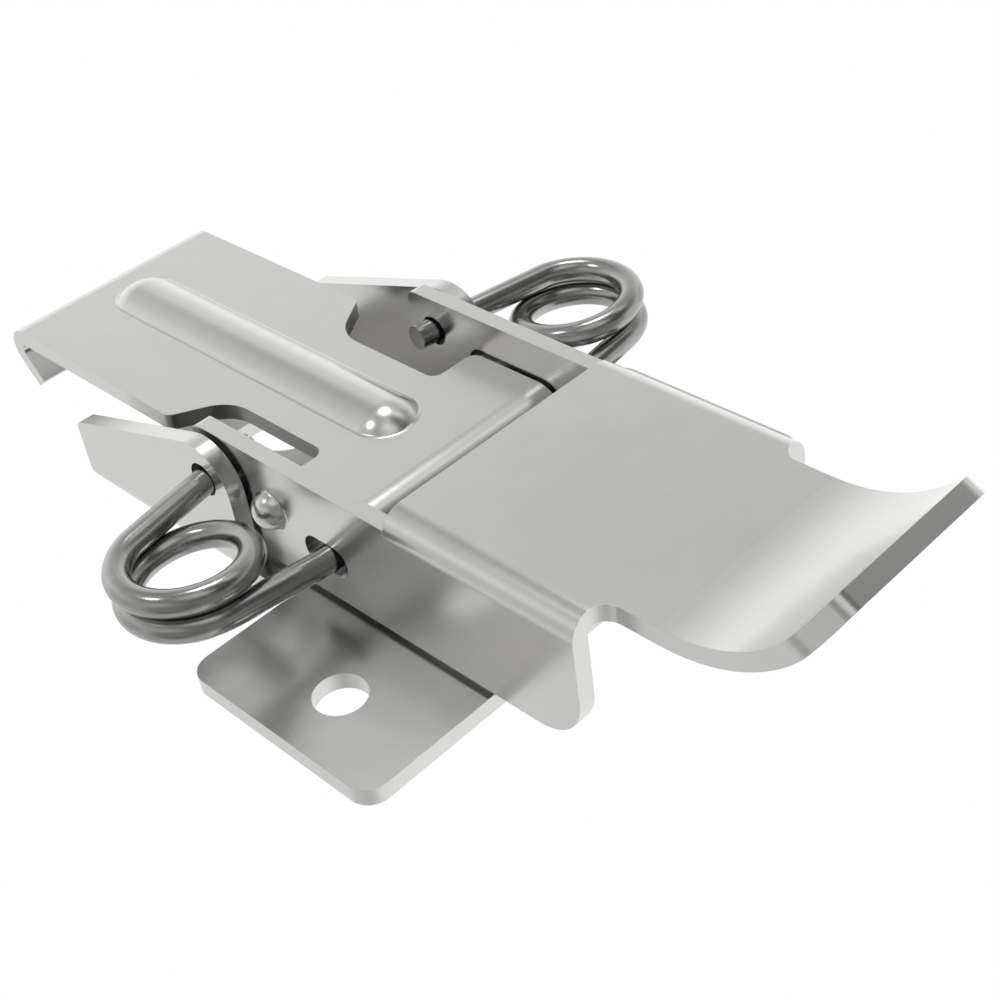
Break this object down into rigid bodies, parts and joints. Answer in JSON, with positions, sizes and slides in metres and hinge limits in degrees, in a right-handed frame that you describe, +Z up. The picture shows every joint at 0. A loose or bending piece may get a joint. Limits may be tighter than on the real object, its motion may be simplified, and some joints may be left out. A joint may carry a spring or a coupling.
{
  "type": "draw latch",
  "caption": "Over-centre draw latch of folded sheet steel: base with ears, finger lever, hooked claw plate and wire torsion springs.",
  "frame": {"origin": "underside of the base, midway between the mounting holes", "axes": "+X towards the lever's finger tab, away from the hook; +Z up out of the mounting surface; +Y across, along the line of the mounting holes"},
  "size_m": [0.1148, 0.0704, 0.0268],
  "materials": {
    "base_steel": "satin, rolled sheet",
    "lever_steel": "satin, rolled sheet",
    "claw_steel": "satin, rolled sheet",
    "spring_wire": "bright drawn wire"
  },
  "bodies": {
    "base": {"base": "base_steel"},
    "lever": {"lever": "lever_steel", "spring_near": "spring_wire", "spring_far": "spring_wire"},
    "claw": {"claw": "claw_steel"}
  },
  "joints": [
    {"name": "lever_pivot", "type": "hinge", "parent": "base", "child": "lever", "pos_m": [-0.02535, 0, 0.0118], "axis": [0, -1, 0], "range_deg": [0, 100]},
    {"name": "claw_pivot", "type": "hinge", "parent": "lever", "child": "claw", "pos_m": [-0.0094, 0, 0.00801], "axis": [0, 1, 0], "range_deg": [0, 100]}
  ],
  "couplings": [
    {"joint": "claw_pivot", "follows": "lever_pivot", "ratio": 1}
  ]
}
